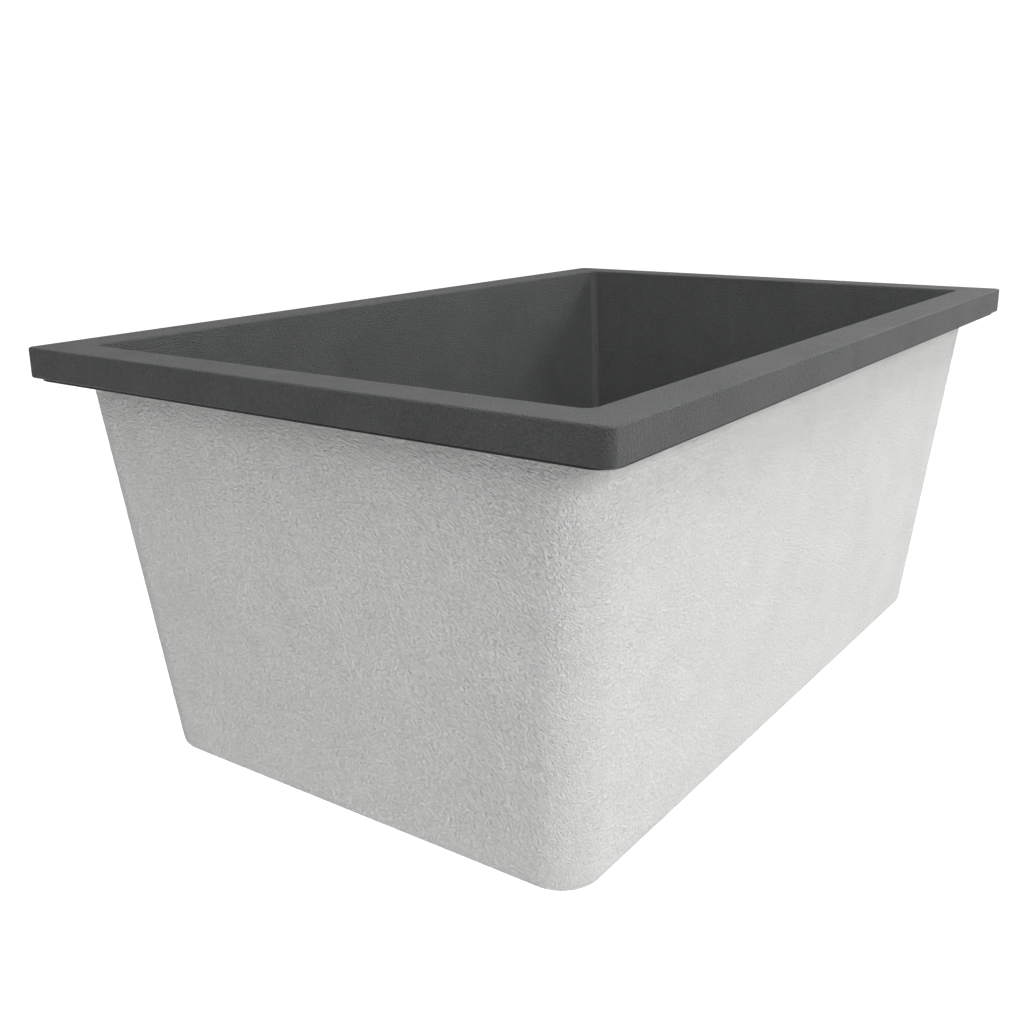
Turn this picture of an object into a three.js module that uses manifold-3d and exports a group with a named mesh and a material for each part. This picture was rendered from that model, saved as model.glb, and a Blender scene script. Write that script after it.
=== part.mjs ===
// A drop-in wash basin of moulded composite: a dark one-piece basin with a flat overhanging rim, a white
// textured shell bonded round its outside, a sealing strip under the rim, and a basket-strainer outlet.
// Millimetres, +Z up. The origin is the centre of the rim's underside, which is the worktop's plane.
// +X runs along the basin and +Y across it, away from the user.
import * as THREE from "three";
import { mergeVertices } from "three/addons/utils/BufferGeometryUtils.js";
import Module from "manifold-3d";

const wasm = await Module();
wasm.setup();

// ---- Driving dimensions ------------------------------------------------------------------------------

const GAP = 0.3; // between two pieces that touch

const RIM_LENGTH = 684; // along X
const RIM_WIDTH = 440; // along Y
const RIM_THICKNESS = 20;
const RIM_CORNER_RADIUS = 5;
const RIM_EDGE_RADIUS = 1.5; // rounding of the rim's outer top and bottom edges
const RIM_INNER_EDGE_RADIUS = 1.5; // rounding where the rim turns down into the basin

const OVERHANG = 20; // from the rim's edge to the shell, at the rim's underside
const RIM_LEDGE = 30; // from the rim's edge to the inside wall, at the rim's top
const DRAFT = 26 / 270; // how far each wall leans in, for each millimetre down
const SHELL_THICKNESS = 4.6;
const SHELL_CORNER_RADIUS = 28;
const SHELL_EDGE_RADIUS = 8; // rounding round the base
const INSIDE_CORNER_RADIUS = 7;
const INSIDE_FLOOR_RADIUS = 15;

const BASE_Z = -270; // underside of the shell
const SHELL_FLOOR_THICKNESS = 5.7;
const FLOOR_Z = -250; // the basin's floor, round the outlet
const FLOOR_FALL = 3; // how much higher the floor is along its walls
const RECESS_DEPTH = 4; // the outlet's flange lies sunk by this
const RECESS_RADIUS = 60;
const OUTLET_HOLE_RADIUS = 45;

const SEAL_STRIP_INSET = 2.5;
const SEAL_STRIP_WIDTH = 10;
const SEAL_STRIP_THICKNESS = 1.5;

const NECK_RADIUS = 44.2; // the strainer body's threaded neck
const NIPPLE_RADIUS = 24; // its outlet, with a 1 1/2 inch pipe thread
const NIPPLE_BORE = 21;
const NIPPLE_END_Z = -320;

const POST_RADIUS = 3;

const CORNER_STEPS = 8; // facets round a quarter circle
const ROUND_STEPS = 36; // facets round a turned piece

// ---- Materials ---------------------------------------------------------------------------------------

const plain = (color, roughness, metalness = 0) =>
  new THREE.MeshStandardMaterial({ color, roughness, metalness });

const MATERIAL = {
  composite: plain(0x4a4c4b, 0.62),
  shell: plain(0xdddbd6, 0.85),
  rubber: plain(0x1c1c1d, 0.8),
  fibre: plain(0xb09a72, 0.95),
  steel: plain(0xc9cbcc, 0.28, 1),
  castMetal: plain(0x9a9c9d, 0.5, 1),
};

// ---- Geometry helpers --------------------------------------------------------------------------------

// The outline of a rounded rectangle at height z, anticlockwise from above.
function ring(halfX, halfY, radius, z) {
  const points = [];
  const quarters = [
    [1, 1],
    [-1, 1],
    [-1, -1],
    [1, -1],
  ];
  quarters.forEach(([sx, sy], quarter) => {
    for (let step = 0; step <= CORNER_STEPS; step++) {
      const angle = (quarter + step / CORNER_STEPS) * (Math.PI / 2);
      points.push(
        new THREE.Vector3(
          sx * (halfX - radius) + radius * Math.cos(angle),
          sy * (halfY - radius) + radius * Math.sin(angle),
          z,
        ),
      );
    }
  });
  return points;
}

// A circle at height z with as many points as a rounded rectangle, facing the same way.
function round(radius, z) {
  const count = 4 * (CORNER_STEPS + 1);
  return Array.from({ length: count }, (_, i) => {
    const angle = ((i + 0.5) / count) * 2 * Math.PI;
    return new THREE.Vector3(radius * Math.cos(angle), radius * Math.sin(angle), z);
  });
}

// The rounded rectangle that lies `inset` inside the rim's edge, at height z.
const insetRing = (inset, radius, z) =>
  ring(RIM_LENGTH / 2 - inset, RIM_WIDTH / 2 - inset, radius, z);

// How far inside the rim's edge a wall lies at height z, if it lies `inset` inside it at height fromZ.
const leaning = (inset, fromZ, z) => inset + DRAFT * (fromZ - z);

// A closed skin over rings that run from the top down, each with as many points.
function loft(rings) {
  const count = rings[0].length;
  const positions = rings.flat();
  const index = [];
  for (let row = 0; row + 1 < rings.length; row++) {
    for (let i = 0; i < count; i++) {
      const next = (i + 1) % count;
      const a = row * count + i;
      const b = row * count + next;
      const c = a + count;
      const d = b + count;
      index.push(a, c, b, b, c, d);
    }
  }
  const cap = (ringOfPoints, first, up) => {
    const centre = new THREE.Vector3();
    ringOfPoints.forEach((p) => centre.addScaledVector(p, 1 / count));
    positions.push(centre);
    const hub = positions.length - 1;
    for (let i = 0; i < count; i++) {
      const a = first + i;
      const b = first + ((i + 1) % count);
      index.push(...(up ? [hub, a, b] : [hub, b, a]));
    }
  };
  cap(rings[0], 0, true);
  cap(rings.at(-1), (rings.length - 1) * count, false);
  return new THREE.BufferGeometry().setFromPoints(positions).setIndex(index);
}

// A solid of revolution about Z from a closed profile of [radius, z], anticlockwise with z upwards.
function turned(profile, steps = ROUND_STEPS) {
  const points = [...profile, profile[0]].map(([r, z]) => new THREE.Vector2(r, z));
  return new THREE.LatheGeometry(points, steps).rotateX(Math.PI / 2);
}

// A flat ring between two radii and two heights.
const washer = (inner, outer, low, high, steps) =>
  turned(
    [
      [inner, low],
      [outer, low],
      [outer, high],
      [inner, high],
    ],
    steps,
  );

// Points of a quarter-circle fillet, as { out, drop } from its start, in `steps` steps.
function fillet(radius, steps) {
  return Array.from({ length: steps + 1 }, (_, step) => {
    const angle = (step / steps) * (Math.PI / 2);
    return {
      out: radius * Math.sin(angle),
      drop: radius * (1 - Math.cos(angle)),
    };
  });
}

// A three.js geometry as a manifold-3d solid.
function solid(geometry) {
  const bare = geometry.clone();
  bare.deleteAttribute("normal");
  bare.deleteAttribute("uv");
  const merged = mergeVertices(bare, 1e-4);
  return new wasm.Manifold(
    new wasm.Mesh({
      numProp: 3,
      vertProperties: new Float32Array(merged.attributes.position.array),
      triVerts: new Uint32Array(merged.index.array),
    }),
  );
}

// A manifold-3d solid as a three.js geometry.
function geometryOf(manifold) {
  const mesh = manifold.getMesh();
  const geometry = new THREE.BufferGeometry();
  geometry.setAttribute("position", new THREE.BufferAttribute(mesh.vertProperties, 3));
  geometry.setIndex(new THREE.BufferAttribute(mesh.triVerts, 1));
  geometry.computeVertexNormals();
  return geometry;
}

const bored = (geometry, radius, low, high) =>
  solid(geometry).subtract(
    solid(new THREE.CylinderGeometry(radius, radius, high - low, ROUND_STEPS)
      .rotateX(Math.PI / 2)
      .translate(0, 0, (low + high) / 2)),
  );

// ---- Group -------------------------------------------------------------------------------------------

const washBasin = new THREE.Group();

function addPiece(name, geometry, material) {
  const mesh = new THREE.Mesh(geometry, material);
  mesh.name = name;
  washBasin.add(mesh);
  return mesh;
}

// ---- Basin: rim, walls and floor in one moulding ----------------------------------------------------

const LINER_INSET = OVERHANG + SHELL_THICKNESS + GAP; // the basin's outside wall, at z = 0
const LINER_CORNER_RADIUS = SHELL_CORNER_RADIUS - SHELL_THICKNESS;
const LINER_BOTTOM_Z = BASE_Z + SHELL_FLOOR_THICKNESS + GAP;

function rimBlock() {
  const rings = [];
  const steps = fillet(RIM_EDGE_RADIUS, 3);
  for (const { out, drop } of steps) {
    const inset = RIM_EDGE_RADIUS - out;
    rings.push(insetRing(inset, RIM_CORNER_RADIUS - inset, RIM_THICKNESS - drop));
  }
  for (const { out, drop } of steps.toReversed()) {
    const inset = RIM_EDGE_RADIUS - out;
    rings.push(insetRing(inset, RIM_CORNER_RADIUS - inset, drop));
  }
  return loft(rings);
}

function basinOutside() {
  const insideRim = RIM_THICKNESS / 2;
  return loft(
    [insideRim, LINER_BOTTOM_Z].map((z) =>
      insetRing(leaning(LINER_INSET, 0, z), LINER_CORNER_RADIUS, z),
    ),
  );
}

// The space inside the basin, from above the rim down through the outlet's hole.
function basinInside() {
  const rings = [];
  const wallInset = (z) => leaning(RIM_LEDGE, RIM_THICKNESS, z);
  const lipSteps = fillet(RIM_INNER_EDGE_RADIUS, 3);
  const flare = RIM_INNER_EDGE_RADIUS;
  rings.push(insetRing(RIM_LEDGE - flare, INSIDE_CORNER_RADIUS + flare, RIM_THICKNESS + flare));
  for (const { out, drop } of lipSteps) {
    const z = RIM_THICKNESS - drop;
    rings.push(insetRing(wallInset(z) - flare + out, INSIDE_CORNER_RADIUS + flare - out, z));
  }
  const floorEdgeZ = FLOOR_Z + FLOOR_FALL;
  for (const { out, drop } of fillet(INSIDE_FLOOR_RADIUS, 4).toReversed()) {
    const inset = wallInset(floorEdgeZ + INSIDE_FLOOR_RADIUS) + INSIDE_FLOOR_RADIUS - out;
    const radius = INSIDE_CORNER_RADIUS - (INSIDE_FLOOR_RADIUS - out) * 0.25;
    rings.push(insetRing(inset, radius, floorEdgeZ + drop));
  }
  rings.push(round(RECESS_RADIUS, FLOOR_Z));
  rings.push(round(RECESS_RADIUS, FLOOR_Z - RECESS_DEPTH));
  rings.push(round(OUTLET_HOLE_RADIUS, FLOOR_Z - RECESS_DEPTH));
  rings.push(round(OUTLET_HOLE_RADIUS, BASE_Z));
  return loft(rings);
}

const basin = solid(rimBlock()).add(solid(basinOutside())).subtract(solid(basinInside()));
addPiece("basin", geometryOf(basin), MATERIAL.composite);

// ---- Shell: the white skin bonded to the basin's outside ---------------------------------------------

function shellOutside() {
  const top = -GAP;
  const rings = [insetRing(leaning(OVERHANG, 0, top), SHELL_CORNER_RADIUS, top)];
  const turnZ = BASE_Z + SHELL_EDGE_RADIUS;
  for (const { out, drop } of fillet(SHELL_EDGE_RADIUS, 4).toReversed()) {
    const inset = leaning(OVERHANG, 0, turnZ) + SHELL_EDGE_RADIUS - out;
    const radius = SHELL_CORNER_RADIUS - SHELL_EDGE_RADIUS + out;
    rings.push(insetRing(inset, radius, BASE_Z + drop));
  }
  return loft(rings);
}

function shellInside() {
  const inset = OVERHANG + SHELL_THICKNESS;
  const bottom = BASE_Z + SHELL_FLOOR_THICKNESS;
  return loft(
    [GAP, bottom].map((z) => insetRing(leaning(inset, 0, z), LINER_CORNER_RADIUS, z)),
  );
}

const openShell = geometryOf(solid(shellOutside()).subtract(solid(shellInside())));
const shell = bored(openShell, OUTLET_HOLE_RADIUS, BASE_Z - GAP, FLOOR_Z);
addPiece("outer_shell", geometryOf(shell), MATERIAL.shell);

// ---- Sealing strip under the rim ---------------------------------------------------------------------

function stripBlock(inset, low, high) {
  const radius = RIM_CORNER_RADIUS + SEAL_STRIP_WIDTH - inset / 2;
  return solid(loft([high, low].map((z) => insetRing(inset, radius, z))));
}

const stripTop = -GAP;
const stripBottom = stripTop - SEAL_STRIP_THICKNESS;
const strip = stripBlock(SEAL_STRIP_INSET, stripBottom, stripTop).subtract(
  stripBlock(SEAL_STRIP_INSET + SEAL_STRIP_WIDTH, stripBottom - 1, stripTop + 1),
);
addPiece("rim_seal", geometryOf(strip), MATERIAL.rubber);

// ---- Outlet: strainer body and what clamps it into the floor -----------------------------------------

const RECESS_Z = FLOOR_Z - RECESS_DEPTH;
const GASKET_TOP_Z = RECESS_Z + GAP + 1.5;
const FLANGE_UNDER_Z = GASKET_TOP_Z + GAP;
const CUP_FLOOR_Z = -303; // inside the cup, at the edge of the outlet

addPiece("flange_gasket", washer(46, 55, RECESS_Z + GAP, GASKET_TOP_Z), MATERIAL.rubber);

const strainerProfile = [
  [NIPPLE_BORE, NIPPLE_END_Z],
  [NIPPLE_RADIUS, NIPPLE_END_Z],
  [NIPPLE_RADIUS, CUP_FLOOR_Z - 1.5],
  [38, -302.5],
  [42.5, -298],
  [NECK_RADIUS, -293],
  [NECK_RADIUS, FLANGE_UNDER_Z],
  [57, FLANGE_UNDER_Z],
  [57.6, FLANGE_UNDER_Z + 0.6],
  [56.4, FLANGE_UNDER_Z + 1.4],
  [46.5, FLANGE_UNDER_Z + 1.2],
  [43.6, FLANGE_UNDER_Z - 0.4],
  [42.6, FLANGE_UNDER_Z - 2.5],
  [42.6, -292.6],
  [41.2, -296.8],
  [37.2, -300.9],
  [NIPPLE_BORE, CUP_FLOOR_Z],
];
addPiece("strainer_body", turned(strainerProfile), MATERIAL.steel);

// The bars across the outlet that hold the basket's post upright.
function crossbar() {
  const low = -313;
  const high = -309;
  const rod = (angle) =>
    solid(
      new THREE.BoxGeometry(NIPPLE_BORE - 5, 3, high - low)
        .translate((NIPPLE_BORE - 5) / 2 + 4.4, 0, (low + high) / 2)
        .rotateZ(angle),
    );
  let spider = solid(washer(18.4, NIPPLE_BORE - GAP, low, high)).add(
    solid(washer(3.6, 6, low, high, 24)),
  );
  for (let arm = 0; arm < 3; arm++) spider = spider.add(rod((arm * 2 * Math.PI) / 3));
  return spider.intersect(solid(washer(3.6, NIPPLE_BORE - GAP, low - 1, high + 1)));
}
addPiece("outlet_crossbar", geometryOf(crossbar()), MATERIAL.steel);

const WASHER_TOP_Z = BASE_Z - GAP;
const WASHER_UNDER_Z = WASHER_TOP_Z - 3;
const FIBRE_TOP_Z = WASHER_UNDER_Z - GAP;
const FIBRE_UNDER_Z = FIBRE_TOP_Z - 1;
const NUT_TOP_Z = FIBRE_UNDER_Z - GAP;
const NUT_UNDER_Z = NUT_TOP_Z - 10;

addPiece("underside_washer", washer(44.8, 55, WASHER_UNDER_Z, WASHER_TOP_Z), MATERIAL.rubber);
addPiece("friction_washer", washer(44.8, 54, FIBRE_UNDER_Z, FIBRE_TOP_Z), MATERIAL.fibre);

function locknut() {
  const lugs = 6;
  const midZ = (NUT_TOP_Z + NUT_UNDER_Z) / 2;
  let nut = solid(washer(NECK_RADIUS + GAP, 52, NUT_UNDER_Z, NUT_TOP_Z));
  for (let lug = 0; lug < lugs; lug++) {
    nut = nut.add(
      solid(
        new THREE.BoxGeometry(9, 9, NUT_TOP_Z - NUT_UNDER_Z - 2)
          .translate(53.5, 0, midZ)
          .rotateZ((lug * 2 * Math.PI) / lugs),
      ),
    );
  }
  return nut;
}
addPiece("locknut", geometryOf(locknut()), MATERIAL.castMetal);

// ---- Basket: it pushes down to stop the outlet, and lifts out ----------------------------------------

const BASKET_FLOOR_Z = -298.7;
const BASKET_LIP_Z = -255.2;
const SLOTS = 16;

const basketProfile = [
  [POST_RADIUS + GAP, BASKET_FLOOR_Z],
  [29, BASKET_FLOOR_Z],
  [33, -297.2],
  [35.5, -293.5],
  [39.6, -260],
  [40.2, -257],
  [41.8, BASKET_LIP_Z - 1],
  [41.8, BASKET_LIP_Z],
  [40, BASKET_LIP_Z],
  [39.1, -256.6],
  [38.6, -260],
  [34.6, -293.2],
  [32.4, -296.4],
  [28.8, BASKET_FLOOR_Z + 0.9],
  [POST_RADIUS + GAP, BASKET_FLOOR_Z + 0.9],
];

function basket() {
  let cup = solid(turned(basketProfile));
  for (let slot = 0; slot < SLOTS; slot++) {
    const angle = ((slot + 0.5) * 2 * Math.PI) / SLOTS;
    cup = cup.subtract(
      solid(new THREE.BoxGeometry(12, 3, 24).translate(37, 0, -276).rotateZ(angle)),
    );
  }
  return cup;
}
addPiece("strainer_basket", geometryOf(basket()), MATERIAL.steel);

const SEAL_TOP_Z = BASKET_FLOOR_Z - GAP;
const SEAL_UNDER_Z = -301.9;
const sealProfile = [
  [POST_RADIUS + GAP, SEAL_UNDER_Z],
  [25.5, SEAL_UNDER_Z],
  [27, SEAL_UNDER_Z + 1],
  [26.4, SEAL_TOP_Z],
  [POST_RADIUS + GAP, SEAL_TOP_Z],
];
addPiece("basket_seal", turned(sealProfile, 24), MATERIAL.rubber);

const RETAINER_TOP_Z = SEAL_UNDER_Z - GAP;
addPiece(
  "seal_retainer",
  washer(POST_RADIUS + GAP, 12, RETAINER_TOP_Z - 1.2, RETAINER_TOP_Z, 24),
  MATERIAL.steel,
);

const POST_NUT_TOP_Z = RETAINER_TOP_Z - 1.2 - GAP;
const postNut = bored(
  new THREE.CylinderGeometry(6.4, 6.4, 4, 6).rotateX(Math.PI / 2).translate(0, 0, POST_NUT_TOP_Z - 2),
  POST_RADIUS + GAP,
  POST_NUT_TOP_Z - 5,
  POST_NUT_TOP_Z + 1,
);
addPiece("post_nut", geometryOf(postNut), MATERIAL.steel);

const POST_BOTTOM_Z = -317;
const POST_TOP_Z = -260;
addPiece(
  "basket_post",
  new THREE.CylinderGeometry(POST_RADIUS, POST_RADIUS, POST_TOP_Z - POST_BOTTOM_Z, 24)
    .rotateX(Math.PI / 2)
    .translate(0, 0, (POST_TOP_Z + POST_BOTTOM_Z) / 2),
  MATERIAL.steel,
);

const knobProfile = [
  [POST_RADIUS + GAP, -267],
  [6.5, -267],
  [6, -264],
  [8.5, -259.5],
  [9.5, -256.5],
  [8.6, -254.2],
  [6, -253],
  [0, -252.6],
  [0, POST_TOP_Z + GAP],
  [POST_RADIUS + GAP, POST_TOP_Z + GAP],
];
addPiece("basket_knob", turned(knobProfile, 24), MATERIAL.steel);

export default washBasin;
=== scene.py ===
"""The looks of a drop-in composite wash basin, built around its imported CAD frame. Metres, +Z up.

The origin is the centre of the basin in the plane of the rim's underside. The basin and its white shell
are lofted again with fine fillets and a wrinkled skin, and the outlet's pieces are turned and pressed.
"""

import math

import bmesh
import bpy
import numpy as np
from mathutils import Matrix, Vector


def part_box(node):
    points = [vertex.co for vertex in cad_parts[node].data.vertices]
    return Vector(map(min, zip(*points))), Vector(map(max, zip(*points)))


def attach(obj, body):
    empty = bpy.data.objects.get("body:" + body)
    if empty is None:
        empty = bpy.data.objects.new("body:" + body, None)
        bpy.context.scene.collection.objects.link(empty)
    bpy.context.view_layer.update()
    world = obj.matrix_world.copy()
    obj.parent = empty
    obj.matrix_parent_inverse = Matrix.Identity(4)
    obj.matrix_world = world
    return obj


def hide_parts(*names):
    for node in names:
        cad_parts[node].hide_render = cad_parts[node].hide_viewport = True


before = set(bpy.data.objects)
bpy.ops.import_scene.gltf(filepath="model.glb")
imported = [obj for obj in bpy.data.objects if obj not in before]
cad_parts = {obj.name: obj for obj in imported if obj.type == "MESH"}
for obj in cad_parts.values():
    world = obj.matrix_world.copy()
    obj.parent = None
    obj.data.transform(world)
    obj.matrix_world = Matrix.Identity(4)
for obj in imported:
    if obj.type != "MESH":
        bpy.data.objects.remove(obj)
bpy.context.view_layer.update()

MM = 0.001
BODY = "basin_body"
BASKET = "basket"

# ---- Sizes, in metres ---------------------------------------------------------------------------------

RIM_LOW, RIM_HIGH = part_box("basin")
HALF_X, HALF_Y = RIM_HIGH.x, RIM_HIGH.y
RIM_TOP = RIM_HIGH.z
SHELL_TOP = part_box("outer_shell")[1].z
BASE_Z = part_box("outer_shell")[0].z
LINER_BASE_Z = RIM_LOW.z

GAP = 0.3 * MM
RIM_CORNER_RADIUS = 5 * MM
RIM_EDGE_RADIUS = 1.5 * MM
LIP_RADIUS = 1.5 * MM
OVERHANG = 20 * MM
LEDGE = 30 * MM
DRAFT = 26 / 270
SHELL_THICKNESS = 4.6 * MM
SHELL_CORNER_RADIUS = 28 * MM
SHELL_EDGE_RADIUS = 8 * MM
LINER_CORNER_RADIUS = SHELL_CORNER_RADIUS - SHELL_THICKNESS
INSIDE_CORNER_RADIUS = 7 * MM
INSIDE_FLOOR_RADIUS = 15 * MM
FLOOR_Z = -250 * MM
FLOOR_FALL = 3 * MM
RECESS_RADIUS = 60 * MM
RECESS_DEPTH = 4 * MM
RECESS_EDGE_RADIUS = 1.5 * MM
HOLE_RADIUS = 45 * MM
# Near the floor the inside corner radius shrinks by this share of the fillet's run.
FLOOR_CORNER_SHRINK = 0.25
# A narrow ring beside each of the rim's fillets keeps its flat faces flat.
FLAT_MARGIN = 1 * MM

SEAL_WIDTH = 10 * MM
SEAL_CORNER_RADIUS = RIM_CORNER_RADIUS + 8 * MM

SKIN_GRID = 1.35 * MM
SKIN_RELIEF = 0.12 * MM
SKIN_WRINKLE_WIDTH = 2.1 * MM
SKIN_WRINKLE_LENGTH = 4.4 * MM
WRINKLE_SLOPE = math.radians(28)
# Highest wrinkle, as a multiple of SKIN_RELIEF.
SKIN_LIMIT = 2.2
# How sharply one slant gives way to the other round a corner.
SLANT_BLEND = 1.2
SKIN_FADE_HEIGHT = 4 * MM
BASE_RELIEF_LIMIT = 0.05 * MM
SEED = 7


# ---- Node helpers -------------------------------------------------------------------------------------


class Shader:
    """A material's node tree, with its Principled shader ready to wire."""

    def __init__(self, name, color, roughness, metallic=0.0, specular=0.5):
        self.material = bpy.data.materials.new(name)
        self.material.use_nodes = True
        self.nodes = self.material.node_tree.nodes
        self.links = self.material.node_tree.links
        self.principled = self.nodes["Principled BSDF"]
        self.set("Base Color", (*color, 1))
        self.set("Roughness", roughness)
        self.set("Metallic", metallic)
        self.set("Specular IOR Level", specular)
        self.material.diffuse_color = (*color, 1)
        self.place = self.add("ShaderNodeTexCoord").outputs["Object"]

    def set(self, socket, value):
        self.principled.inputs[socket].default_value = value

    def add(self, kind, **values):
        node = self.nodes.new(kind)
        for key, value in values.items():
            if key in node.inputs:
                node.inputs[key].default_value = value
            else:
                setattr(node, key, value)
        return node

    def link(self, source, target):
        self.links.new(source, target)

    def mapped(self, rotation=(0, 0, 0), scale=(1, 1, 1)):
        """The object's own coordinates, turned and then stretched."""
        turn = self.add("ShaderNodeMapping")
        turn.inputs["Rotation"].default_value = rotation
        self.link(self.place, turn.inputs["Vector"])
        stretch = self.add("ShaderNodeMapping")
        stretch.inputs["Scale"].default_value = scale
        self.link(turn.outputs["Vector"], stretch.inputs["Vector"])
        return stretch.outputs["Vector"]

    def noise(self, wavelength, detail=3.0, roughness=0.55, coordinates=None, distortion=0.0):
        node = self.add("ShaderNodeTexNoise", Scale=1 / wavelength, Detail=detail, Distortion=distortion)
        node.inputs["Roughness"].default_value = roughness
        self.link(coordinates or self.place, node.inputs["Vector"])
        return node.outputs["Fac"]

    def ramp(self, value, low, high, low_to, high_to):
        node = self.add("ShaderNodeMapRange")
        for key, number in zip(("From Min", "From Max", "To Min", "To Max"), (low, high, low_to, high_to)):
            node.inputs[key].default_value = number
        self.link(value, node.inputs["Value"])
        return node.outputs["Result"]

    def math(self, operation, a, b):
        node = self.add("ShaderNodeMath", operation=operation)
        for socket, value in zip(node.inputs, (a, b)):
            if isinstance(value, (int, float)):
                socket.default_value = value
            else:
                self.link(value, socket)
        return node.outputs[0]

    def mix_value(self, factor, a, b):
        node = self.add("ShaderNodeMix", data_type="FLOAT")
        for socket, value in zip((node.inputs[0], node.inputs[2], node.inputs[3]), (factor, a, b)):
            self.link(value, socket)
        return node.outputs[0]

    def mix_color(self, factor, dark, light):
        node = self.add("ShaderNodeMix", data_type="RGBA")
        self.link(factor, node.inputs[0])
        node.inputs[6].default_value = (*dark, 1)
        node.inputs[7].default_value = (*light, 1)
        self.link(node.outputs[2], self.principled.inputs["Base Color"])

    def vary_roughness(self, value, low, high):
        self.link(self.ramp(value, 0.25, 0.75, low, high), self.principled.inputs["Roughness"])

    def bump(self, height, depth):
        """Adds relief of `depth` metres on top of what the shader's normal already has."""
        node = self.add("ShaderNodeBump", Strength=1.0, Distance=depth)
        self.link(height, node.inputs["Height"])
        normal = self.principled.inputs["Normal"]
        if normal.links:
            self.link(normal.links[0].from_socket, node.inputs["Normal"])
        self.link(node.outputs["Normal"], normal)


# ---- Materials ----------------------------------------------------------------------------------------


def composite_material():
    """Quartz-filled resin: near-black grey, matt-satin, with a fine even grain."""
    shader = Shader("composite", (0.056, 0.0588, 0.0574), 0.56, specular=0.24)
    grain = shader.noise(0.8 * MM, detail=1)
    cloud = shader.noise(60 * MM, detail=3)
    tone = shader.math("ADD", shader.math("MULTIPLY", grain, 0.75), shader.math("MULTIPLY", cloud, 0.25))
    shader.mix_color(shader.ramp(tone, 0.3, 0.7, 0, 1), (0.034, 0.0361, 0.0351), (0.071, 0.0741, 0.0726))
    shader.vary_roughness(shader.noise(25 * MM), 0.52, 0.6)
    shader.bump(shader.noise(0.9 * MM, detail=1), 1.5 * MM)
    return shader.material


def shell_material():
    """White resin backing coat: a dry skin of fine slanting wrinkles."""
    shader = Shader("shell_skin", (0.72, 0.715, 0.705), 0.78, specular=0.3)
    across, along = 1.0, 0.38
    side_x = shader.mapped((0, WRINKLE_SLOPE, 0), (along, 1, across))
    side_y = shader.mapped((-WRINKLE_SLOPE, 0, 0), (1, along, across))
    normal = shader.add("ShaderNodeSeparateXYZ")
    shader.link(shader.add("ShaderNodeNewGeometry").outputs["True Normal"], normal.inputs[0])
    faces_x = shader.math("ABSOLUTE", normal.outputs["X"], 0)
    faces_y = shader.math("ABSOLUTE", normal.outputs["Y"], 0)
    on_end = shader.ramp(shader.math("SUBTRACT", faces_x, faces_y), -0.8, 0.8, 0, 1)

    def wrinkles(wavelength, detail):
        on_front = shader.noise(wavelength, detail, 0.6, side_x, 0.35)
        at_end = shader.noise(wavelength, detail, 0.6, side_y, 0.35)
        return shader.mix_value(on_end, on_front, at_end)

    shader.bump(wrinkles(0.95 * MM, 1.5), 4.6 * MM)
    shader.bump(shader.noise(0.8 * MM, detail=2), 0.08 * MM)
    tone = shader.noise(45 * MM, detail=4)
    shader.mix_color(shader.ramp(tone, 0.3, 0.7, 0, 1), (0.71, 0.703, 0.692), (0.75, 0.746, 0.738))
    shader.vary_roughness(shader.noise(12 * MM), 0.72, 0.86)
    return shader.material


def rubber_material(name, color, roughness):
    shader = Shader(name, color, roughness, specular=0.35)
    shader.mix_color(shader.noise(9 * MM, detail=4), [c * 0.8 for c in color], [c * 1.3 for c in color])
    shader.vary_roughness(shader.noise(5 * MM), roughness - 0.08, roughness + 0.1)
    shader.bump(shader.noise(0.5 * MM, detail=3), 0.05 * MM)
    return shader.material


def fibre_material():
    """Pressed fibre: a matt tan board with short darker fibres."""
    shader = Shader("fibre", (0.42, 0.31, 0.17), 0.9, specular=0.2)
    fibres = shader.noise(3 * MM, 5, 0.65, shader.mapped((0, 0, 0.6), (0.25, 1.6, 1)), 0.6)
    shader.mix_color(shader.ramp(fibres, 0.35, 0.65, 0, 1), (0.28, 0.19, 0.09), (0.47, 0.35, 0.2))
    shader.bump(fibres, 0.1 * MM)
    return shader.material


def steel_material():
    """Polished stainless steel with faint turning marks round the outlet's axis."""
    shader = Shader("polished_steel", (0.62, 0.62, 0.61), 0.2, metallic=1.0)
    separate = shader.add("ShaderNodeSeparateXYZ")
    shader.link(shader.place, separate.inputs[0])
    radius = shader.math("SQRT", shader.math(
        "ADD",
        shader.math("POWER", separate.outputs["X"], 2),
        shader.math("POWER", separate.outputs["Y"], 2),
    ), 0)
    turning = shader.add("ShaderNodeCombineXYZ")
    shader.link(radius, turning.inputs["X"])
    shader.link(separate.outputs["Z"], turning.inputs["Z"])
    marks = shader.noise(0.35 * MM, 3, 0.6, turning.outputs[0])
    smudges = shader.noise(14 * MM, 4)
    shader.vary_roughness(smudges, 0.16, 0.3)
    shader.mix_color(smudges, (0.58, 0.58, 0.57), (0.66, 0.66, 0.655))
    shader.bump(marks, 0.012 * MM)
    return shader.material


def zinc_material():
    """Dull die-cast zinc, slightly grainy and stained."""
    shader = Shader("cast_zinc", (0.4, 0.4, 0.4), 0.55, metallic=0.9)
    stains = shader.noise(12 * MM, detail=5)
    shader.mix_color(shader.ramp(stains, 0.3, 0.7, 0, 1), (0.31, 0.31, 0.315), (0.46, 0.46, 0.455))
    shader.vary_roughness(stains, 0.45, 0.65)
    shader.bump(shader.noise(0.7 * MM, detail=4), 0.08 * MM)
    return shader.material


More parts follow.
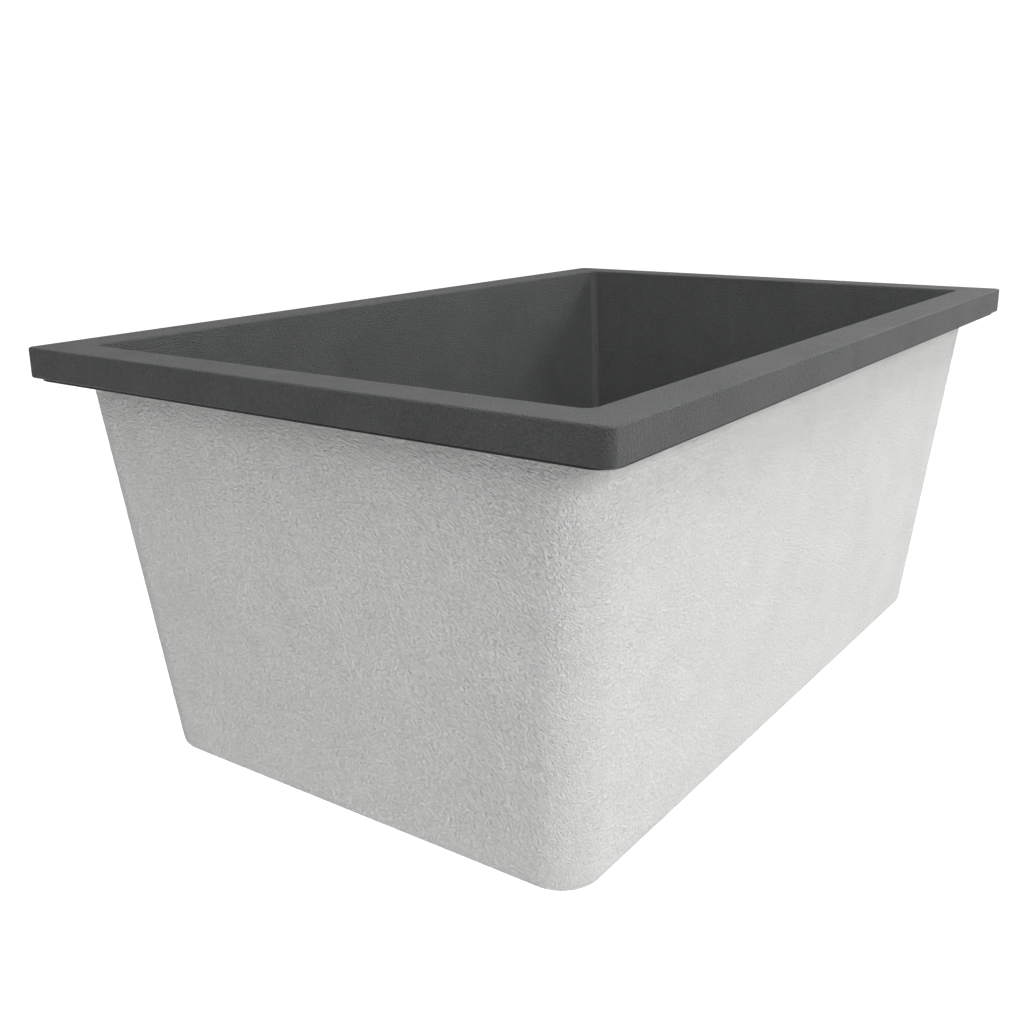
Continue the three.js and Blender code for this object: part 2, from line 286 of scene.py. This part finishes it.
def floor_material():
    """A pale floor with a painted glow, soft and brighter on its far side; the floor is no lamp."""
    shader = Shader("studio_floor", (0.78, 0.78, 0.78), 0.9, specular=0.1)
    far = shader.add("ShaderNodeVectorMath", operation="DOT_PRODUCT")
    far.inputs[1].default_value = FAR_SIDE
    shader.link(shader.place, far.inputs[0])
    glow = shader.ramp(far.outputs["Value"], *FLOOR_GLOW_RANGE, FLOOR_GLOW_NEAR, FLOOR_GLOW_FAR)
    # Painted light: the floor's emission grows along FAR_SIDE, brightest on the far side.
    shader.set("Emission Color", (1, 1, 1, 1))
    shader.link(glow, shader.principled.inputs["Emission Strength"])
    return shader.material


# ---- Mesh helpers -------------------------------------------------------------------------------------


def outline(half_x, half_y, radius, arc_steps, steps_x, steps_y):
    """Points and outward normals of a rounded rectangle, anticlockwise from above."""
    points, normals = [], []
    centres = [(1, 1), (-1, 1), (-1, -1), (1, -1)]
    for quarter, (sx, sy) in enumerate(centres):
        centre = np.array([sx * (half_x - radius), sy * (half_y - radius)])
        for step in range(arc_steps + 1):
            angle = (quarter + step / arc_steps) * math.pi / 2
            normal = np.array([math.cos(angle), math.sin(angle)])
            points.append(centre + radius * normal)
            normals.append(normal)
        nx, ny = centres[(quarter + 1) % 4]
        following = np.array([nx * (half_x - radius), ny * (half_y - radius)]) + radius * normals[-1]
        start = points[-1]
        count = steps_x if quarter % 2 == 0 else steps_y
        for step in range(1, count):
            points.append(start + (following - start) * step / count)
            normals.append(normals[-1])
    return np.array(points), np.array(normals)


def at_height(flat, z):
    """The flat outline as a ring at height z."""
    return np.column_stack([flat, np.full(len(flat), z)])


def circle_like(ring, radius, z):
    """A circle whose points lie on the same rays as the ring's."""
    angle = np.arctan2(ring[:, 1], ring[:, 0])
    return np.column_stack([radius * np.cos(angle), radius * np.sin(angle), np.full(len(ring), z)])


def quarter_turn(steps):
    """Cosine and sine over a quarter circle."""
    return [(math.cos(a), math.sin(a)) for a in np.linspace(0, math.pi / 2, steps + 1)]


def make_piece(name, vertices, faces, material, body, nodes):
    """A smooth mesh with its material, which rides on a body and stands for CAD nodes."""
    mesh = bpy.data.meshes.new(name)
    mesh.from_pydata(np.asarray(vertices).tolist(), [], faces)
    mesh.validate()
    builder = bmesh.new()
    builder.from_mesh(mesh)
    if builder.calc_volume(signed=True) < 0:
        bmesh.ops.reverse_faces(builder, faces=builder.faces)
    builder.to_mesh(mesh)
    builder.free()
    mesh.polygons.foreach_set("use_smooth", [True] * len(mesh.polygons))
    mesh.materials.append(material)
    piece = bpy.data.objects.new(name, mesh)
    bpy.context.scene.collection.objects.link(piece)
    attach(piece, body)
    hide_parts(*nodes)
    return piece


def loop_faces(rows, columns):
    """Quads of a grid that closes on itself both ways."""
    row, column = np.meshgrid(np.arange(rows), np.arange(columns), indexing="ij")
    a = row * columns + column
    b = row * columns + (column + 1) % columns
    c = ((row + 1) % rows) * columns + (column + 1) % columns
    d = ((row + 1) % rows) * columns + column
    return np.stack([a, b, c, d], axis=-1).reshape(-1, 4).tolist()


def loft_piece(name, rings, material, body, nodes):
    """A closed piece from rings that lead round its section and back to the first."""
    vertices = np.concatenate(rings)
    return make_piece(name, vertices, loop_faces(len(rings), len(rings[0])), material, body, nodes)


def keep_flats_flat(piece):
    modifier = piece.modifiers.new("flat_normals", "WEIGHTED_NORMAL")
    modifier.weight = 100
    modifier.keep_sharp = True


def rounded_profile(corners, steps=4):
    """A closed profile of [radius, z] corners, each rounded by its third number."""
    points = []
    count = len(corners)
    for i, (r, z, rounding) in enumerate(corners):
        here = np.array([r, z])
        before = np.array(corners[i - 1][:2])
        after = np.array(corners[(i + 1) % count][:2])
        if rounding <= 0:
            points.append(here)
            continue
        to_before = (before - here) / np.linalg.norm(before - here)
        to_after = (after - here) / np.linalg.norm(after - here)
        start, end = here + to_before * rounding, here + to_after * rounding
        for t in np.linspace(0, 1, steps + 1):
            points.append((1 - t) ** 2 * start + 2 * t * (1 - t) * here + t**2 * end)
    return np.array(points)


def turned_piece(name, profile, material, body, nodes, steps=96, radius_of=None):
    """A piece turned about the outlet's axis from a closed profile in metres."""
    angles = np.arange(steps) * 2 * math.pi / steps
    rings = []
    for r, z in profile:
        radii = np.full(steps, r) if radius_of is None else radius_of(r, angles)
        rings.append(np.column_stack([radii * np.cos(angles), radii * np.sin(angles), np.full(steps, z)]))
    return loft_piece(name, rings, material, body, nodes)


def capped_piece(name, profile, material, body, nodes, steps=64):
    """A piece turned from an open profile that starts and ends on the axis."""
    angles = np.arange(steps) * 2 * math.pi / steps
    inner = profile[1:-1]
    vertices = [[0, 0, profile[0][1]], [0, 0, profile[-1][1]]]
    for r, z in inner:
        vertices += [[r * math.cos(a), r * math.sin(a), z] for a in angles]
    faces = []
    for row in range(len(inner) - 1):
        for i in range(steps):
            a, b = 2 + row * steps + i, 2 + row * steps + (i + 1) % steps
            faces.append([a, b, b + steps, a + steps])
    last = 2 + (len(inner) - 1) * steps
    for i in range(steps):
        j = (i + 1) % steps
        faces.append([0, 2 + j, 2 + i])
        faces.append([1, last + i, last + j])
    return make_piece(name, vertices, faces, material, body, nodes)


# ---- Basin --------------------------------------------------------------------------------------------

LINER_ARC_STEPS, LINER_STEPS_X, LINER_STEPS_Y = 10, 24, 16


def inset_ring(inset, radius, z):
    flat, _ = outline(HALF_X - inset, HALF_Y - inset, radius, LINER_ARC_STEPS, LINER_STEPS_X, LINER_STEPS_Y)
    return at_height(flat, z)


def wall_inset(z):
    """How far inside the rim's edge the basin's inside wall lies at height z."""
    return LEDGE + DRAFT * (RIM_TOP - z)


def rim_rings():
    """Up the outside wall, out under the rim, round its edge and in over its top."""
    outside = OVERHANG + SHELL_THICKNESS + GAP
    rings = [
        inset_ring(outside - DRAFT * LINER_BASE_Z, LINER_CORNER_RADIUS, LINER_BASE_Z),
        inset_ring(outside, LINER_CORNER_RADIUS, 0),
        inset_ring(RIM_EDGE_RADIUS + FLAT_MARGIN, RIM_CORNER_RADIUS, 0),
    ]
    turn = quarter_turn(6)
    for z, sign, order in ((RIM_EDGE_RADIUS, -1, turn[::-1]), (RIM_TOP - RIM_EDGE_RADIUS, 1, turn)):
        for cosine, sine in order:
            inset = RIM_EDGE_RADIUS * (1 - cosine)
            rings.append(inset_ring(inset, RIM_CORNER_RADIUS - inset, z + sign * RIM_EDGE_RADIUS * sine))
    rings.append(inset_ring(RIM_EDGE_RADIUS + FLAT_MARGIN, RIM_CORNER_RADIUS - RIM_EDGE_RADIUS, RIM_TOP))
    return rings


def inside_rings():
    """From the rim's lip down the inside wall and across the floor to the recess."""
    rings = []
    for cosine, sine in quarter_turn(6)[::-1]:
        z = RIM_TOP - LIP_RADIUS * (1 - sine)
        inset = wall_inset(z) - LIP_RADIUS * (1 - cosine)
        rings.append(inset_ring(inset, INSIDE_CORNER_RADIUS + LIP_RADIUS * (1 - cosine), z))
    floor_edge = FLOOR_Z + FLOOR_FALL
    turn_z = floor_edge + INSIDE_FLOOR_RADIUS
    for z in np.linspace(RIM_TOP - LIP_RADIUS, turn_z, 9)[1:-1]:
        rings.append(inset_ring(wall_inset(z), INSIDE_CORNER_RADIUS, z))
    for cosine, sine in quarter_turn(8):
        away = INSIDE_FLOOR_RADIUS * (1 - cosine)
        inset = wall_inset(turn_z) + away
        radius = INSIDE_CORNER_RADIUS - FLOOR_CORNER_SHRINK * away
        rings.append(inset_ring(inset, radius, turn_z - INSIDE_FLOOR_RADIUS * sine))
    edge = rings[-1]
    recess = circle_like(edge, RECESS_RADIUS + RECESS_EDGE_RADIUS, FLOOR_Z)
    for t in np.linspace(0, 1, 9)[1:]:
        rings.append(edge * (1 - t) + recess * t)
    for cosine, sine in quarter_turn(4)[1:]:
        radius = RECESS_RADIUS + RECESS_EDGE_RADIUS * (1 - sine)
        rings.append(circle_like(edge, radius, FLOOR_Z - RECESS_EDGE_RADIUS * (1 - cosine)))
    for radius, z in (
        (RECESS_RADIUS, FLOOR_Z - RECESS_DEPTH),
        (HOLE_RADIUS, FLOOR_Z - RECESS_DEPTH),
        (HOLE_RADIUS, LINER_BASE_Z),
    ):
        rings.append(circle_like(edge, radius, z))
    return rings


def build_basin(material):
    rings = rim_rings() + inside_rings()
    piece = loft_piece("composite_basin", rings, material, BODY, ["basin"])
    keep_flats_flat(piece)


# ---- Shell --------------------------------------------------------------------------------------------

SHELL_ARC_STEPS = 24
SHELL_STEPS_X = round(2 * (HALF_X - OVERHANG - SHELL_CORNER_RADIUS) / SKIN_GRID)
SHELL_STEPS_Y = round(2 * (HALF_Y - OVERHANG - SHELL_CORNER_RADIUS) / SKIN_GRID)
SHELL_WALL_ROWS = round(-BASE_Z / SKIN_GRID)
SHELL_FILLET_ROWS = 8
SHELL_BASE_ROWS = 40


def shell_outline(inset, radius):
    return outline(
        HALF_X - inset, HALF_Y - inset, radius, SHELL_ARC_STEPS, SHELL_STEPS_X, SHELL_STEPS_Y
    )


def slanting_noise(rows, columns, slope, rng):
    """Unit-height relief that repeats round the shell, of wrinkles that climb at a slope."""
    spectrum = np.fft.fft2(rng.standard_normal((rows, columns)))
    up = np.fft.fftfreq(rows, SKIN_GRID)[:, None]
    around = np.fft.fftfreq(columns, SKIN_GRID)[None, :]
    along = around * math.cos(slope) - up * math.sin(slope)
    across = around * math.sin(slope) + up * math.cos(slope)
    reach = (along * SKIN_WRINKLE_LENGTH) ** 2 + (across * SKIN_WRINKLE_WIDTH) ** 2
    relief = np.fft.ifft2(spectrum * np.exp(-reach) * np.minimum(reach, 1)).real
    return relief / relief.std()


def skin_relief(rows, normals):
    """Relief over the shell's outside: each pair of walls has wrinkles of its own slant."""
    rng = np.random.default_rng(SEED)
    columns = len(normals)
    rising = slanting_noise(rows, columns, WRINKLE_SLOPE, rng)
    falling = slanting_noise(rows, columns, -WRINKLE_SLOPE, rng)
    toward = normals[:, 0] - normals[:, 1]
    share = 0.5 + 0.5 * np.tanh(toward * SLANT_BLEND)
    blended = rising * share + falling * (1 - share)
    return SKIN_RELIEF * np.clip(blended, -SKIN_LIMIT, SKIN_LIMIT)


def build_shell(material):
    """The outside with its wrinkled skin, under the base to the hole, and back up the inside."""
    rings = []
    turn_z = BASE_Z + SHELL_EDGE_RADIUS
    rows = SHELL_WALL_ROWS + SHELL_FILLET_ROWS + SHELL_BASE_ROWS
    _, normals = shell_outline(OVERHANG, SHELL_CORNER_RADIUS)
    relief = skin_relief(rows, normals)
    outward = np.column_stack([normals, np.zeros(len(normals))])
    down = np.array([0, 0, -1])
    row = 0
    for z in np.linspace(SHELL_TOP, turn_z, SHELL_WALL_ROWS):
        flat, _ = shell_outline(OVERHANG - DRAFT * z, SHELL_CORNER_RADIUS)
        fade = min(1, (SHELL_TOP - z) / SKIN_FADE_HEIGHT)
        rings.append(at_height(flat, z) + outward * (relief[row] * fade)[:, None])
        row += 1
    for cosine, sine in quarter_turn(SHELL_FILLET_ROWS)[1:]:
        away = SHELL_EDGE_RADIUS * (1 - cosine)
        flat, _ = shell_outline(OVERHANG - DRAFT * turn_z + away, SHELL_CORNER_RADIUS - away)
        ring = at_height(flat, turn_z - SHELL_EDGE_RADIUS * sine)
        lift = np.minimum(relief[row], BASE_RELIEF_LIMIT * sine + relief[row] * cosine)
        rings.append(ring + (outward * cosine + down * sine) * lift[:, None])
        row += 1
    edge = rings[-1].copy()
    edge[:, 2] = BASE_Z
    hole = circle_like(edge, HOLE_RADIUS, BASE_Z)
    for t in np.linspace(0, 1, SHELL_BASE_ROWS + 1)[1:]:
        ring = edge * (1 - t) + hole * t
        ring[:, 2] += np.abs(relief[row]) * (1 - t)
        rings.append(ring)
        row += 1
    inside_z = LINER_BASE_Z - GAP
    rings.append(circle_like(edge, HOLE_RADIUS, inside_z))
    for z in (inside_z, SHELL_TOP):
        flat, _ = shell_outline(OVERHANG + SHELL_THICKNESS - DRAFT * z, LINER_CORNER_RADIUS)
        rings.append(at_height(flat, z))
    loft_piece("textured_shell", rings, material, BODY, ["outer_shell"])


# ---- Sealing strip ------------------------------------------------------------------------------------


def build_rim_seal(material):
    low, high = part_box("rim_seal")
    inset = HALF_X - high.x
    centre_z = (low.z + high.z) / 2
    half_height = (high.z - low.z) / 2
    section = rounded_profile(
        [
            (0, -half_height, 0.8 * MM),
            (SEAL_WIDTH, -half_height, 0.8 * MM),
            (SEAL_WIDTH, half_height, 0.3 * MM),
            (0, half_height, 0.3 * MM),
        ]
    )
    rings = [inset_ring(inset + across, SEAL_CORNER_RADIUS, centre_z + up) for across, up in section]
    piece = loft_piece("sealing_strip", rings, material, BODY, ["rim_seal"])
    keep_flats_flat(piece)


# ---- Outlet: strainer body and its clamp --------------------------------------------------------------

CUP_RADIUS = 42.6 * MM
CUP_TOP_Z = -257 * MM
CUP_BEND_TOP_Z = -288 * MM
CUP_FLOOR_Z = -303 * MM
CLAMP_THREAD_RADIUS = 44.2 * MM
CLAMP_THREAD_END_Z = -293 * MM
CLAMP_THREAD_PITCH = 1.25 * MM
OUTLET_BORE = 21 * MM
OUTLET_RADIUS = 24 * MM
OUTLET_THREAD_LENGTH = 13 * MM
OUTLET_THREAD_PITCH = 1.1 * MM
WASHER_BORE = 44.8 * MM
GASKET_BORE = 46 * MM
NUT_BORE = 44.6 * MM

def threads(radius, top, bottom, pitch, depth):
    """[radius, z] points of a fine thread's section, from top to bottom."""
    points = []
    z = top
    while z - pitch > bottom:
        points += [(radius, z), (radius - depth, z - pitch / 2)]
        z -= pitch
    points.append((radius, z))
    return points


def build_strainer_body(material):
    low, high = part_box("strainer_body")
    under = high.z - 1.4 * MM
    bore, nipple, neck, floor = OUTLET_BORE, OUTLET_RADIUS, CLAMP_THREAD_RADIUS, CUP_FLOOR_Z
    profile = [(CUP_RADIUS, CUP_TOP_Z), (CUP_RADIUS, CUP_BEND_TOP_Z)]
    for cosine, sine in quarter_turn(8):
        profile.append((37.2 * MM + 5.4 * MM * cosine, -292.6 * MM - 8.3 * MM * sine))
    profile += [(30 * MM, -301.9 * MM), (24 * MM, -302.7 * MM)]
    profile += [(bore + 1.2 * MM, floor), (bore + 0.3 * MM, floor - 0.4 * MM), (bore, floor - 1.4 * MM)]
    profile += [(bore, low.z + 0.6 * MM), (bore + 0.6 * MM, low.z), (nipple - 0.6 * MM, low.z)]
    thread_top = low.z + 0.8 * MM + OUTLET_THREAD_LENGTH
    profile += threads(nipple, thread_top, low.z + 0.6 * MM, OUTLET_THREAD_PITCH, 0.45 * MM)[::-1]
    profile += [(nipple, -305.6 * MM), (25 * MM, -304.7 * MM), (37 * MM, floor)]
    for cosine, sine in quarter_turn(6)[::-1]:
        profile.append((38 * MM + 6.1 * MM * cosine, -294.5 * MM - 8.2 * MM * sine))
    profile += threads(neck, under - 2 * MM, CLAMP_THREAD_END_Z, CLAMP_THREAD_PITCH, 0.5 * MM)[::-1]
    profile += [(neck, under), (57 * MM, under)]
    profile += [(57.5 * MM, under + 0.35 * MM), (57.4 * MM, under + 0.85 * MM), (56.8 * MM, under + 1.3 * MM)]
    profile += [(55.5 * MM, high.z), (50 * MM, under + 1.35 * MM), (47 * MM, under + 1.15 * MM)]
    profile += [(45 * MM, under + 0.6 * MM), (43.6 * MM, under - 0.3 * MM), (42.85 * MM, under - 1.5 * MM)]
    turned_piece("strainer_cup", profile, material, BODY, ["strainer_body"], 128)


def build_washer(name, node, material, rounding, body=BODY, bore=None):
    """A turned ring that fills its CAD node, with rounded edges."""
    low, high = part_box(node)
    profile = rounded_profile(
        [
            (bore, low.z, rounding),
            (high.x, low.z, rounding),
            (high.x, high.z, rounding),
            (bore, high.z, rounding),
        ]
    )
    turned_piece(name, profile, material, body, [node])


def build_locknut(material):
    """A ring with six rounded lugs for a wrench."""
    low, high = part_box("locknut")
    lugs, ring_radius, lug_reach = 6, 52 * MM, high.x
    bore = NUT_BORE

    def lobed(r, angles):
        if r < ring_radius - 1 * MM:
            return np.full(len(angles), r)
        phase = np.abs((angles * lugs / (2 * math.pi) + 0.5) % 1 - 0.5) * 2
        lug = 1 / (1 + np.exp((phase - 0.17) * 60))
        return r + (lug_reach - ring_radius - 0.2 * MM) * lug

    edge = 0.9 * MM
    profile = [(bore, low.z + edge), (bore + edge, low.z), (ring_radius - 1.5 * MM, low.z)]
    profile += [(ring_radius - edge, low.z + 0.1 * MM), (ring_radius - 0.3 * edge, low.z + 0.4 * edge)]
    profile += [(ring_radius, low.z + edge), (ring_radius, (low.z + high.z) / 2)]
    profile += [(ring_radius, high.z - edge)]
    profile += [(ring_radius - 0.3 * edge, high.z - 0.4 * edge), (ring_radius - edge, high.z - 0.1 * MM)]
    profile += [(ring_radius - 1.5 * MM, high.z), (bore + edge, high.z), (bore, high.z - edge)]
    profile += threads(bore, high.z - edge - 0.6 * MM, low.z + edge, CLAMP_THREAD_PITCH, -0.4 * MM)
    turned_piece("clamp_nut", profile, material, BODY, ["locknut"], 288, lobed)


def build_crossbar(material):
    """The CAD spider keeps its shape, and gets softened edges."""
    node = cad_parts["outlet_crossbar"]
    node.data.materials.clear()
    node.data.materials.append(material)
    bevel = node.modifiers.new("soft_edges", "BEVEL")
    bevel.width = 0.5 * MM
    bevel.segments = 3
    bevel.limit_method = "ANGLE"


# ---- Basket -------------------------------------------------------------------------------------------

BASKET_COLUMNS = 96
BASKET_WALL_ROWS = 12
BASKET_BEND_STEPS = 4
BASKET_FLOOR_RADII = (3.8, 6, 9.5, 12, 15.5, 18, 22, 24.5, 28)
WALL_START = len(BASKET_FLOOR_RADII) + BASKET_BEND_STEPS - 1
SHEET = 0.8 * MM
# The slots and holes repeat every so many columns and are open at these ones.
SLOT_PITCH, SLOT_COLUMNS = 6, (2, 3)
HOLE_PITCH, HOLE_COLUMNS, HOLE_ROWS = 8, (0, 1, 2), (2, 4, 6)


def basket_sheet():
    """The pressed cup's middle surface as [radius, z] sections; build_basket leaves the slots through its wall
    and the holes through its floor open.
    """
    floor_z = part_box("strainer_basket")[0].z + SHEET / 2
    lip_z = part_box("strainer_basket")[1].z - SHEET / 2
    sections = [(r * MM, floor_z) for r in BASKET_FLOOR_RADII]
    for cosine, sine in quarter_turn(BASKET_BEND_STEPS)[1:]:
        sections.append((28 * MM + 6.4 * MM * sine, floor_z + 6 * MM * (1 - cosine)))
    start = sections[-1]
    end = (39.0 * MM, -260 * MM)
    for t in np.linspace(0, 1, BASKET_WALL_ROWS + 1)[1:]:
        sections.append((start[0] + (end[0] - start[0]) * t, start[1] + (end[1] - start[1]) * t))
    sections += [(39.5 * MM, -257.4 * MM), (40.4 * MM, lip_z - 0.2 * MM), (41.4 * MM, lip_z)]
    return sections


def is_open(row, column):
    """Whether the sheet is cut away between this row and the next, at this column."""
    wall_row = row - WALL_START
    if 1 <= wall_row < BASKET_WALL_ROWS - 1:
        return column % SLOT_PITCH in SLOT_COLUMNS
    return row in HOLE_ROWS and (column + row) % HOLE_PITCH in HOLE_COLUMNS


def build_basket(material):
    sections = basket_sheet()
    angles = np.arange(BASKET_COLUMNS) * 2 * math.pi / BASKET_COLUMNS
    builder = bmesh.new()
    grid = [
        [builder.verts.new((r * math.cos(a), r * math.sin(a), z)) for a in angles] for r, z in sections
    ]
    for row in range(len(sections) - 1):
        for column in range(BASKET_COLUMNS):
            if is_open(row, column):
                continue
            following = (column + 1) % BASKET_COLUMNS
            builder.faces.new(
                (grid[row][column], grid[row][following], grid[row + 1][following], grid[row + 1][column])
            )
    mesh = bpy.data.meshes.new("perforated_basket")
    builder.to_mesh(mesh)
    builder.free()
    mesh.polygons.foreach_set("use_smooth", [True] * len(mesh.polygons))
    mesh.materials.append(material)
    piece = bpy.data.objects.new("perforated_basket", mesh)
    bpy.context.scene.collection.objects.link(piece)
    thickness = piece.modifiers.new("sheet", "SOLIDIFY")
    thickness.thickness = SHEET
    thickness.offset = 0
    smooth = piece.modifiers.new("smooth", "SUBSURF")
    smooth.levels = smooth.render_levels = 1
    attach(piece, BASKET)
    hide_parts("strainer_basket")


def build_post_and_knob(material):
    low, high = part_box("basket_post")
    radius = high.x
    edge = 0.7 * MM
    shaft = [(0, high.z), (radius - edge, high.z), (radius, high.z - edge), (radius, -298 * MM)]
    shaft += threads(radius, -299 * MM, low.z + 1.5 * MM, 1.0 * MM, 0.3 * MM)
    shaft += [(radius - edge, low.z + 0.2 * MM), (radius - 1.4 * MM, low.z), (0, low.z)]
    capped_piece("centre_post", shaft, material, BASKET, ["basket_post"], 48)
    low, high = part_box("basket_knob")
    bore = radius + GAP
    profile = [(0.01 * MM, high.z), (3.2 * MM, high.z - 0.1 * MM), (6.2 * MM, high.z - 0.6 * MM)]
    for cosine, sine in quarter_turn(6)[::-1]:
        profile.append((6.9 * MM + 2.6 * MM * cosine, -256.4 * MM + 2.6 * MM * sine))
    profile += [(8.7 * MM, -258.6 * MM), (7.4 * MM, -261 * MM), (6.5 * MM, -263.6 * MM)]
    profile += [(6.3 * MM, -265.5 * MM), (6.5 * MM, -266.4 * MM), (6.2 * MM, low.z)]
    profile += [(bore + 0.4 * MM, low.z), (bore, low.z + 0.4 * MM), (bore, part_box("basket_post")[1].z + GAP)]
    profile += [(0.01 * MM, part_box("basket_post")[1].z + GAP)]
    turned_piece("knob", profile, material, BASKET, ["basket_knob"], 72)


def build_stopper(rubber, steel):
    low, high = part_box("basket_seal")
    bore = 3.3 * MM
    profile = rounded_profile(
        [
            (bore, low.z, 0.2 * MM),
            (25 * MM, low.z, 0.6 * MM),
            (high.x, low.z + 1.1 * MM, 0.5 * MM),
            (26.2 * MM, high.z, 0.6 * MM),
            (bore, high.z, 0.2 * MM),
        ]
    )
    turned_piece("stopper_seal", profile, rubber, BASKET, ["basket_seal"])
    build_washer("retainer_washer", "seal_retainer", steel, 0.3 * MM, BASKET, bore)
    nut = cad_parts["post_nut"]
    nut.data.materials.clear()
    nut.data.materials.append(steel)
    bevel = nut.modifiers.new("soft_edges", "BEVEL")
    bevel.width = 0.4 * MM
    bevel.segments = 2
    bevel.limit_method = "ANGLE"


# ---- Stage, lights and camera -------------------------------------------------------------------------

FLOOR_DROP = 0.9
CAMERA_PLACE = Vector((-0.77717, -0.4738, RIM_TOP + 0.11191))
CAMERA_AIM = Vector((0.78167, 0.55393, -0.28664)).normalized()
CAMERA_ROLL = math.radians(-0.49)
LENS_MM = 41.07

# The camera's aim laid flat; the floor's painted glow and the world's bright wall grow along it.
FAR_SIDE = (0.816, 0.578, 0)
# Metres along FAR_SIDE over which the floor starts to glow.
FLOOR_GLOW_RANGE = (-0.6, 0.25)
FLOOR_GLOW_NEAR = 0.0
FLOOR_GLOW_FAR = 0.85
WORLD_DIM = 0.33
WORLD_BRIGHT = 1.12
# The bright wall fades in over this range of cosine from FAR_SIDE, and out over this range of height.
WALL_SIDE_RANGE = (0.3, 0.72)
WALL_TOP_RANGE = (0.13, 0.3)


def build_floor():
    size = 60
    mesh = bpy.data.meshes.new("studio_floor")
    corners = [(-size, -size, 0), (size, -size, 0), (size, size, 0), (-size, size, 0)]
    mesh.from_pydata(corners, [], [(0, 1, 2, 3)])
    mesh.materials.append(floor_material())
    floor = bpy.data.objects.new("studio_floor", mesh)
    floor.location.z = -FLOOR_DROP
    bpy.context.scene.collection.objects.link(floor)


def build_world():
    """A pale room with a bright wall, low down on its far side."""
    world = bpy.data.worlds.new("studio")
    bpy.context.scene.world = world
    world.use_nodes = True
    nodes, links = world.node_tree.nodes, world.node_tree.links
    background = nodes["Background"]
    background.inputs["Color"].default_value = (1, 1, 1, 1)
    direction = nodes.new("ShaderNodeTexCoord").outputs["Generated"]

    def fade(value, start, end, low, high):
        node = nodes.new("ShaderNodeMapRange")
        node.interpolation_type = "SMOOTHSTEP"
        for key, number in zip(("From Min", "From Max", "To Min", "To Max"), (start, end, low, high)):
            node.inputs[key].default_value = number
        links.new(value, node.inputs["Value"])
        return node.outputs["Result"]

    facing = nodes.new("ShaderNodeVectorMath")
    facing.operation = "DOT_PRODUCT"
    facing.inputs[1].default_value = FAR_SIDE
    links.new(direction, facing.inputs[0])
    height = nodes.new("ShaderNodeSeparateXYZ")
    links.new(direction, height.inputs[0])
    wall = nodes.new("ShaderNodeMath")
    wall.operation = "MULTIPLY"
    links.new(fade(facing.outputs["Value"], *WALL_SIDE_RANGE, 0, 1), wall.inputs[0])
    links.new(fade(height.outputs["Z"], *WALL_TOP_RANGE, 1, 0), wall.inputs[1])
    links.new(fade(wall.outputs[0], 0, 1, WORLD_DIM, WORLD_BRIGHT), background.inputs["Strength"])


def add_area(name, place, target, width, height, watts):
    light = bpy.data.lights.new(name, "AREA")
    light.shape = "RECTANGLE"
    light.size, light.size_y = width, height
    light.energy = watts
    lamp = bpy.data.objects.new(name, light)
    bpy.context.scene.collection.objects.link(lamp)
    lamp.location = place
    lamp.rotation_euler = (Vector(target) - Vector(place)).to_track_quat("-Z", "Y").to_euler()


def build_lights():
    add_area("top_softbox", (-0.2, -0.4, 1.5), (0, 0, 0), 1.6, 1.4, 38)
    add_area("front_softbox", (-1.3, -2.3, 1.15), (0, 0, -0.1), 1.1, 1.0, 43)
    add_area("left_softbox", (-2.4, -1.3, -0.1), (0, 0, -0.15), 1.2, 1.0, 6.5)
    add_area("right_softbox", (2.2, -1.9, 0.2), (0, 0, -0.1), 1.4, 1.2, 9)
    add_area("edge_softbox", (2.4, -0.7, 1.5), (0, 0, 0), 0.8, 0.8, 34)


def build_camera():
    camera = bpy.data.cameras.new("camera")
    camera.sensor_width = 36
    camera.lens = LENS_MM
    camera.clip_end = 200
    holder = bpy.data.objects.new("camera", camera)
    bpy.context.scene.collection.objects.link(holder)
    turn = CAMERA_AIM.to_track_quat("-Z", "Y").to_matrix().to_4x4()
    roll = Matrix.Rotation(CAMERA_ROLL, 4, "Z")
    holder.matrix_world = Matrix.Translation(CAMERA_PLACE) @ turn @ roll
    bpy.context.scene.camera = holder


# ---- The whole ----------------------------------------------------------------------------------------

build_camera()
build_world()
build_lights()
build_floor()

composite = composite_material()
shell_skin = shell_material()
strip_rubber = rubber_material("sealing_rubber", (0.018, 0.018, 0.018), 0.7)
rubber = rubber_material("black_rubber", (0.03, 0.03, 0.031), 0.62)
fibre = fibre_material()
steel = steel_material()
zinc = zinc_material()

build_basin(composite)
build_shell(shell_skin)
build_rim_seal(strip_rubber)
build_strainer_body(steel)
build_washer("flange_seal", "flange_gasket", rubber, 0.4 * MM, bore=GASKET_BORE)
build_washer("under_gasket", "underside_washer", rubber, 0.6 * MM, bore=WASHER_BORE)
build_washer("slip_washer", "friction_washer", fibre, 0.2 * MM, bore=WASHER_BORE)
build_locknut(zinc)
build_crossbar(steel)
build_basket(steel)
build_post_and_knob(steel)
build_stopper(rubber, steel)

bpy.context.scene.view_settings.view_transform = "Standard"
